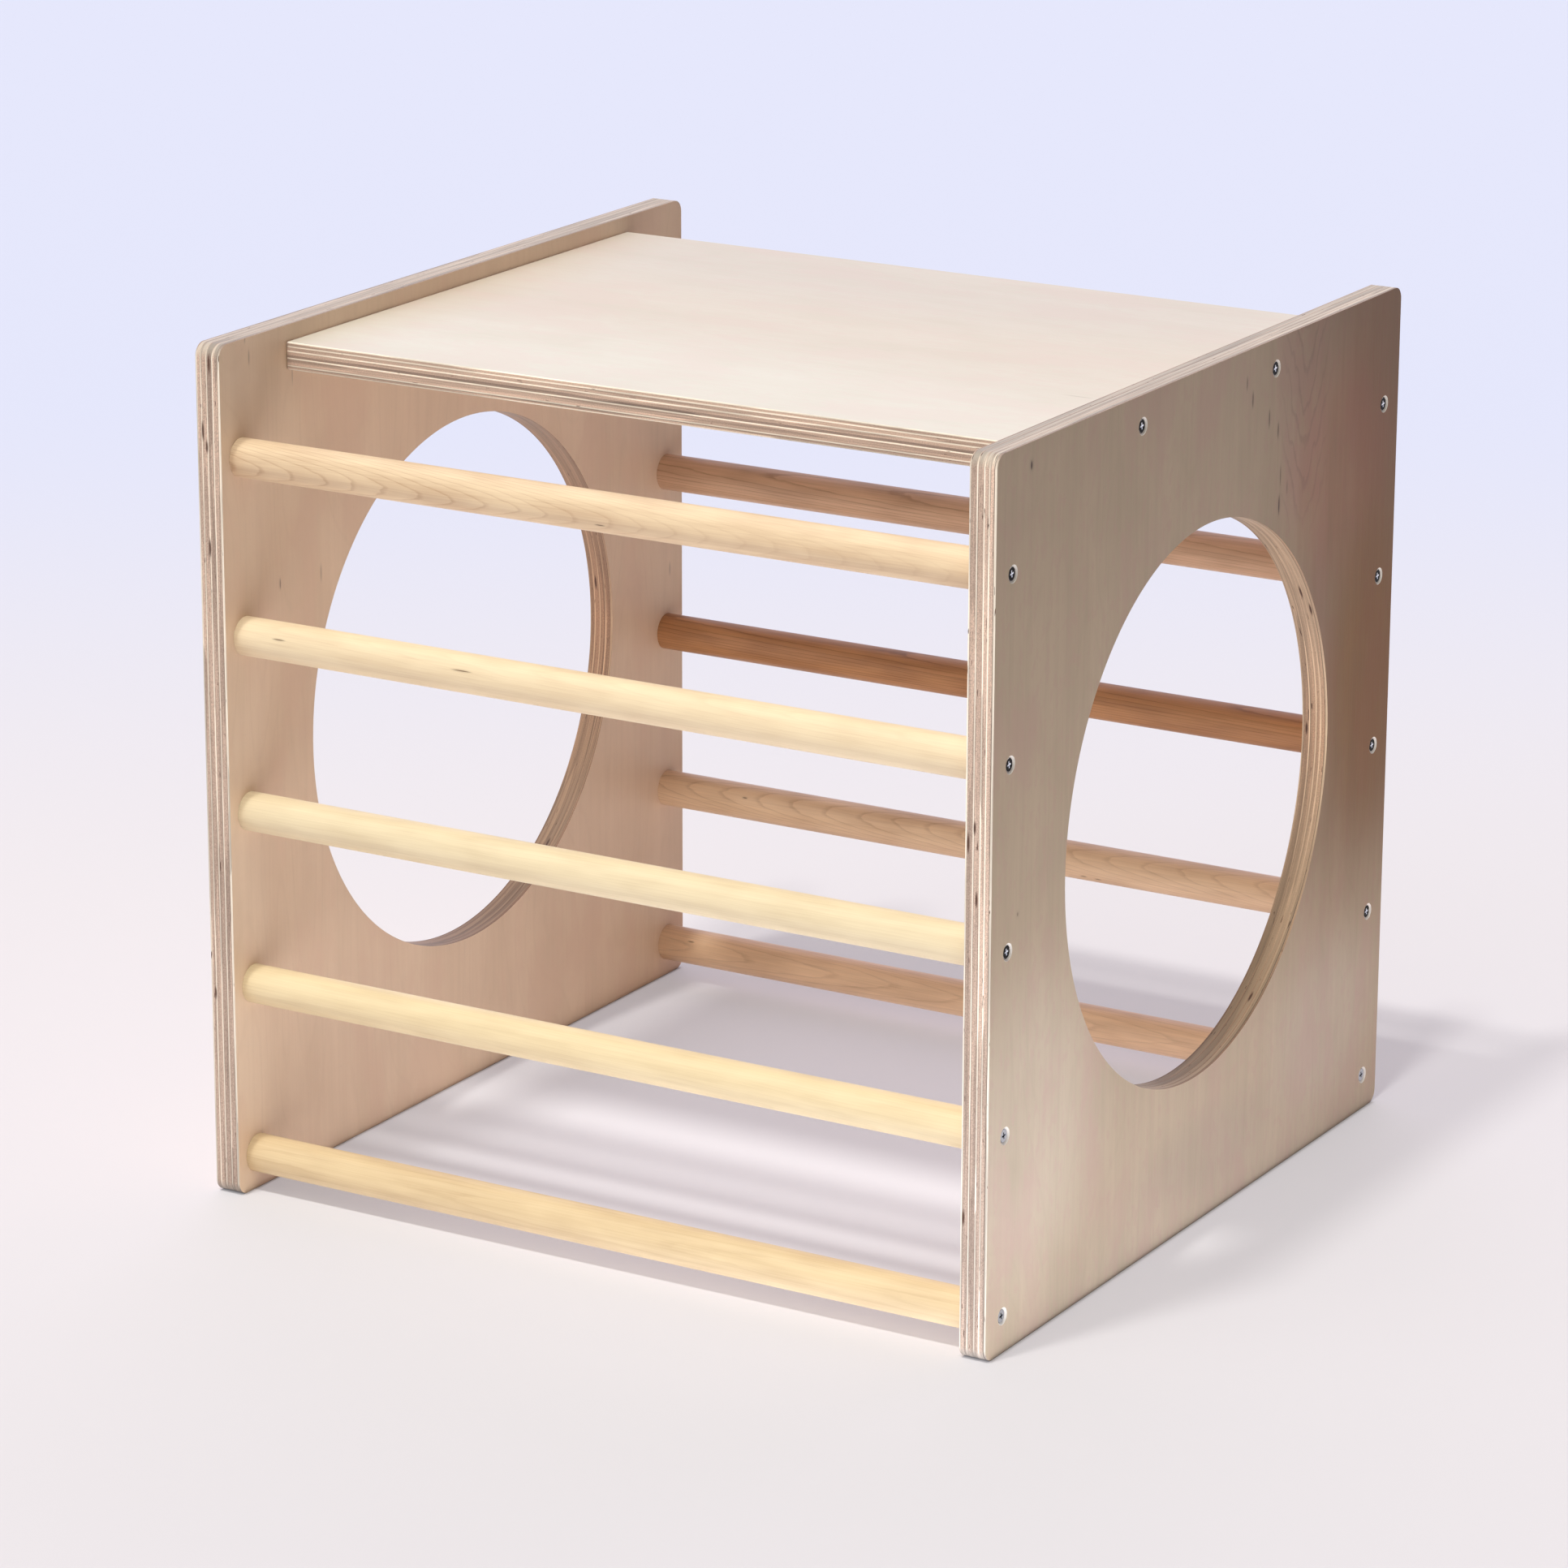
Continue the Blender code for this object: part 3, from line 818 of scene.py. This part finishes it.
def add_object(name, mesh):
    thing = bpy.data.objects.new(name, mesh)
    bpy.context.scene.collection.objects.link(thing)
    return thing


def carved(name, mesh, edge_round=0, edge_facets=1, cutters=()):
    """The mesh with its edges rounded and the cutters taken out of it, shaded for sharp edges."""
    body = add_object(name, mesh)
    helpers = [body]
    if edge_round:
        bevel = body.modifiers.new("rounded", "BEVEL")
        bevel.width = edge_round
        bevel.segments = edge_facets
        bevel.limit_method = "ANGLE"
        bevel.angle_limit = BEVEL_ANGLE
    for cutter_mesh in cutters:
        helpers.append(add_object(cutter_mesh.name, cutter_mesh))
        cut = body.modifiers.new(cutter_mesh.name, "BOOLEAN")
        cut.operation = "DIFFERENCE"
        cut.solver = "EXACT"
        cut.object = helpers[-1]
    bpy.context.view_layer.update()
    evaluated = body.evaluated_get(bpy.context.evaluated_depsgraph_get())
    result = bpy.data.meshes.new_from_object(evaluated)
    result.name = name
    result.shade_smooth()
    result.set_sharp_from_angle(angle=SHARP_ANGLE)
    for helper in helpers:
        bpy.data.objects.remove(helper)
    return result


def add_piece(node, mesh, material, place):
    """A finer piece that stands for a CAD node."""
    piece = add_object(f"{node}_fine", mesh)
    piece.matrix_world = place
    if not mesh.materials:
        mesh.materials.append(None)
    piece.material_slots[0].link = "OBJECT"
    piece.material_slots[0].material = material
    normals = piece.modifiers.new("flat_faces", "WEIGHTED_NORMAL")
    normals.keep_sharp = True
    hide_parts(node)
    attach(piece, "root")


def side_turn(sign):
    """The left side is the right side turned half round the Z axis."""
    return Matrix.Rotation(0 if sign > 0 else math.pi, 4, "Z")


# Places that several pieces share
SIDE_CENTRE, SIDE_SIZE = centre_and_size("right_side_panel")
TOP_CENTRE, TOP_SIZE = centre_and_size("top_panel")
_, RUNG_SIZE = centre_and_size("front_rung_1")
SCREW_LENGTH = centre_and_size("front_rung_1_right_screw")[1].x + CAD_HEAD_SINK - HEAD_SINK
HALF_INNER = SIDE_CENTRE.x - SIDE_SIZE.x / 2
HALF_OUTER = SIDE_CENTRE.x + SIDE_SIZE.x / 2


def spot_place(spot):
    """Y and Z of the screws of a rung or of one edge of the top panel."""
    centre, _ = centre_and_size(f"{spot}_right_screw")
    return Vector((0, centre.y, centre.z))


def bore_outlines():
    """From outside: a 45 degree countersink round the head, then a plain bore."""
    countersink = HEAD_RADIUS + HEAD_EDGE + SEAT_GAP * math.sqrt(2)
    mouth = HEAD_SINK + OVERSHOOT
    turned = [
        (-mouth, countersink + mouth),
        (countersink - BORE_RADIUS, BORE_RADIUS),
        (SCREW_LENGTH + SEAT_GAP, BORE_RADIUS),
    ]
    return [circle(-depth, radius, BORE_FACETS) for depth, radius in turned]


def side_panel_mesh():
    """In the panel's own frame: its inner face at x = 0, its hole's centre at y = z = 0."""
    bm = bmesh.new()
    outlines = (rounded_rectangle(0, SIDE_SIZE.y, SIDE_SIZE.z, SIDE_CORNER_RADIUS, CORNER_FACETS),
                circle(0, HOLE_DIAMETER / 2, HOLE_FACETS))
    edges = []
    for outline in outlines:
        verts = [bm.verts.new(point) for point in outline]
        edges += [bm.edges.new((verts[i - 1], verts[i])) for i in range(len(verts))]
    filled = bmesh.ops.triangle_fill(bm, edges=edges, use_beauty=True)
    faces = [item for item in filled["geom"] if isinstance(item, bmesh.types.BMFace)]
    extruded = bmesh.ops.extrude_face_region(bm, geom=faces)
    verts = [item for item in extruded["geom"] if isinstance(item, bmesh.types.BMVert)]
    bmesh.ops.translate(bm, verts=verts, vec=(SIDE_SIZE.x, 0, 0))
    plate = mesh_of("side_plate", bm)

    to_panel = Matrix.Translation((-HALF_INNER, 0, -SIDE_CENTRE.z))
    sockets = []
    for rung in RUNG_NAMES:
        sockets.append(to_panel @ Matrix.Translation((HALF_INNER, *spot_place(rung).yz)))
    depth = RUNG_SIZE.x / 2 + SEAT_GAP - HALF_INNER
    outlines = [circle(x, RUNG_SIZE.z / 2 + SOCKET_GAP, RUNG_FACETS) for x in (-OVERSHOOT, depth)]
    socket_mesh = lofts("sockets", outlines, sockets)
    bores = []
    for spot in SPOTS:
        bores.append(to_panel @ Matrix.Translation((HALF_OUTER - HEAD_SINK, *spot_place(spot).yz)))
    bore_mesh = lofts("bores", bore_outlines(), bores)
    return carved("side_panel", plate, SIDE_EDGE_ROUND, SIDE_EDGE_FACETS, (socket_mesh, bore_mesh))


def top_panel_mesh():
    """In the panel's own frame, with its middle at the origin."""
    bm = bmesh.new()
    bmesh.ops.create_cube(bm, size=1, matrix=Matrix.Diagonal(TOP_SIZE.to_4d()))
    block = mesh_of("top_block", bm)
    bores = []
    for row in ROWS:
        spot = spot_place(f"top_panel_{row}")
        for sign in SIDES.values():
            head = Matrix.Translation((sign * (HALF_OUTER - HEAD_SINK), spot.y, 0))
            bores.append(head @ side_turn(sign))
    bore_mesh = lofts("top_bores", bore_outlines(), bores)
    return carved("top_board", block, TOP_EDGE_ROUND, TOP_EDGE_FACETS, (bore_mesh,))


def rung_mesh():
    """In the rung's own frame: it lies along X with its middle at the origin."""
    half = RUNG_SIZE.x / 2
    radius = RUNG_SIZE.z / 2
    ends = ((half, radius - RUNG_END_CHAMFER), (half - RUNG_END_CHAMFER, radius))
    profile = [(-x, r) for x, r in ends] + [(x, r) for x, r in reversed(ends)]
    dowel = lofts("dowel", [circle(x, r, RUNG_FACETS) for x, r in profile], [Matrix.Identity(4)])
    bores = []
    for sign in SIDES.values():
        bores.append(Matrix.Translation((sign * (HALF_OUTER - HEAD_SINK), 0, 0)) @ side_turn(sign))
    return carved("rung", dowel, cutters=(lofts("rung_bores", bore_outlines(), bores),))


def thread_ring(depth):
    """A ring of the screw's shank, whose radius follows the thread's ridge."""
    swell = min(1, (depth - THREAD_START) / THREAD_PITCH)
    taper = min(1, (SCREW_LENGTH - depth) / POINT_LENGTH)
    points = []
    for point in circle(-depth, 1, SCREW_FACETS):
        angle = math.atan2(point.z, point.y) / (2 * math.pi)
        phase = (depth / THREAD_PITCH + angle) % 1
        ridge = max(0, 1 - abs(phase - 0.5) / (THREAD_RIDGE / 2)) * swell
        radius = (CORE_RADIUS + (THREAD_RADIUS - CORE_RADIUS) * ridge) * taper
        radius = max(radius, POINT_RADIUS)
        points.append(Vector((-depth, point.y * radius, point.z * radius)))
    return points


def screw_mesh():
    """A countersunk screw with the middle of its face at the origin, pointing to -X."""
    cone_end = HEAD_EDGE + HEAD_RADIUS - NECK_RADIUS
    turned = [
        (0, HEAD_RADIUS - HEAD_RIM),
        (HEAD_SHOULDER, HEAD_RADIUS - HEAD_SHOULDER),
        (HEAD_EDGE + HEAD_SHOULDER, HEAD_RADIUS),
        (cone_end, NECK_RADIUS),
        (THREAD_START - NECK_TAPER, NECK_RADIUS),
    ]
    rings = [circle(-depth, radius, SCREW_FACETS) for depth, radius in turned]
    rows = round((SCREW_LENGTH - THREAD_START) / THREAD_PITCH * THREAD_ROWS_PER_TURN)
    for row in range(rows + 1):
        rings.append(thread_ring(THREAD_START + (SCREW_LENGTH - THREAD_START) * row / rows))
    body = lofts("screw_body", rings, [Matrix.Identity(4)])
    mouth = RECESS_TAPER + (1 - RECESS_TAPER) * ((RECESS_DEPTH + OVERSHOOT) / RECESS_DEPTH)
    outlines = []
    for x, share in ((-RECESS_DEPTH, RECESS_TAPER), (OVERSHOOT, mouth)):
        outlines.append(cross(x, RECESS_SPAN * share, RECESS_ARM_WIDTH * share))
    recess = lofts("recess", outlines, [Matrix.Rotation(RECESS_TURN, 4, "X")])
    return carved("screw", body, cutters=(recess,))


# Pieces

def make_panels():
    mesh = side_panel_mesh()
    for side, sign in SIDES.items():
        material = plywood(side, "XYZ", SIDE_SIZE.x)
        place = Matrix.Translation((sign * HALF_INNER, 0, SIDE_CENTRE.z)) @ side_turn(sign)
        add_piece(f"{side}_side_panel", mesh, material, place)
    material = plywood("top", "ZYX", TOP_SIZE.z)
    add_piece("top_panel", top_panel_mesh(), material, Matrix.Translation(TOP_CENTRE))


def make_rungs():
    mesh = rung_mesh()
    for seed, (rung, look) in enumerate(RUNG_LOOKS.items()):
        material = rung_wood(rung, *look, seed)
        centre, _ = centre_and_size(rung)
        add_piece(rung, mesh, material, Matrix.Translation(centre))


def make_screws():
    mesh = screw_mesh()
    material = zinc("zinc")
    for spot in SPOTS:
        _, y, z = spot_place(spot)
        for side, sign in SIDES.items():
            place = Matrix.Translation((sign * (HALF_OUTER - HEAD_SINK), y, z)) @ side_turn(sign)
            add_piece(f"{spot}_{side}_screw", mesh, material, place)


# Studio

def make_floor():
    bm = bmesh.new()
    bmesh.ops.create_circle(bm, cap_ends=True, radius=FLOOR_RADIUS, segments=FLOOR_FACETS)
    floor = add_object("floor", mesh_of("floor", bm))
    graph = Graph(bpy.data.materials.new("floor"))
    x, y, _ = graph.parts(graph.point)
    away = graph.math("MULTIPLY_ADD", x, FLOOR_AWAY[0], graph.math("MULTIPLY", y, FLOOR_AWAY[1]))
    shown = graph.mixed(graph.within(away, *FLOOR_TURN), FLOOR_NEAR, FLOOR_FAR)
    distance = graph.measure("DISTANCE", graph.point, BOUNCE_MIDDLE)
    bounce = graph.mixed(graph.within(distance, *BOUNCE_REACH), BOUNCE_NEAR, BOUNCE_FAR)
    glow = (0, 0, 0)
    for middle, reach, colour in GLOWS:
        share = graph.within(graph.measure("DISTANCE", graph.point, middle), *reach)
        glow = graph.vector("ADD", graph.vector("MULTIPLY", colour, share), glow)
    # The floor shows more inside the cube: painted light from the cube's inner faces
    inner = graph.within(graph.measure("LENGTH", graph.point), *INNER_REACH)
    haze_and_inner_light = graph.vector("MULTIPLY_ADD", INNER_PAINTED_LIGHT, inner, FLOOR_HAZE)
    foot = graph.math("ABSOLUTE", graph.math("SUBTRACT", graph.math("ABSOLUTE", x), SIDE_CENTRE.x))
    foot_end = SIDE_SIZE.y / 2 - SIDE_CORNER_RADIUS
    beyond = graph.within(graph.math("ABSOLUTE", y), foot_end, foot_end + FOOT_FADE)
    haze_and_inner_light = graph.shaded(graph.math("MAXIMUM", graph.within(foot, *FOOT_SHADE), beyond), haze_and_inner_light)
    lit = graph.math("MAXIMUM", graph.within(foot, *FOOT_LIGHT), beyond)
    seen = graph.seen()
    glow = graph.mixed(seen, graph.shaded(lit, glow), haze_and_inner_light)
    colour = graph.mixed(seen, graph.shaded(lit, bounce), shown)
    material = graph.finish(Base_Color=colour, Roughness=0.9, Specular_IOR_Level=0.1,
                            Emission_Color=glow, Emission_Strength=1.0)
    floor.data.materials.append(material)


def make_world():
    """Soft light from each side. The camera and mirrors see the backdrop's own colour instead."""
    world = bpy.data.worlds.new("studio")
    bpy.context.scene.world = world
    graph = Graph(world)
    fill = (0, 0, 0)
    for side, focus, colour in FILLS:
        towards = graph.measure("DOT_PRODUCT", graph.coordinates["Generated"], Vector(side).normalized())
        lobe = graph.math("POWER", graph.math("MAXIMUM", towards, 0), focus)
        fill = graph.vector("ADD", graph.vector("MULTIPLY", colour, lobe), fill)
    graph.finish(Color=graph.mixed(graph.seen(), fill, BACKDROP))


def make_keys():
    for number, (slope, level) in enumerate(KEYS, 1):
        light = bpy.data.lights.new(f"key_{number}", "SUN")
        light.energy = level * math.pi
        light.color = KEY_COLOUR
        light.angle = KEY_SPREAD
        key = add_object(f"key_{number}", light)
        key.rotation_mode = "QUATERNION"
        key.rotation_quaternion = slope.to_track_quat("-Z", "Y")


def make_camera():
    back = Vector((math.sin(CAMERA_AZIMUTH) * math.cos(CAMERA_ELEVATION),
                   -math.cos(CAMERA_AZIMUTH) * math.cos(CAMERA_ELEVATION), math.sin(CAMERA_ELEVATION)))
    right = Vector((math.cos(CAMERA_AZIMUTH), math.sin(CAMERA_AZIMUTH), 0))
    axes = Matrix((right, back.cross(right), back)).transposed()
    data = bpy.data.cameras.new("camera")
    data.lens = CAMERA_LENS
    data.sensor_width = CAMERA_SENSOR
    camera = add_object("camera", data)
    turn = axes @ Matrix.Rotation(CAMERA_ROLL, 3, "Z")
    camera.matrix_world = Matrix.Translation(CAMERA_PLACE) @ turn.to_4x4()
    bpy.context.scene.camera = camera


make_camera()
make_floor()
make_world()
make_keys()
make_panels()
make_rungs()
make_screws()

view = bpy.context.scene.view_settings
view.view_transform = "Standard"
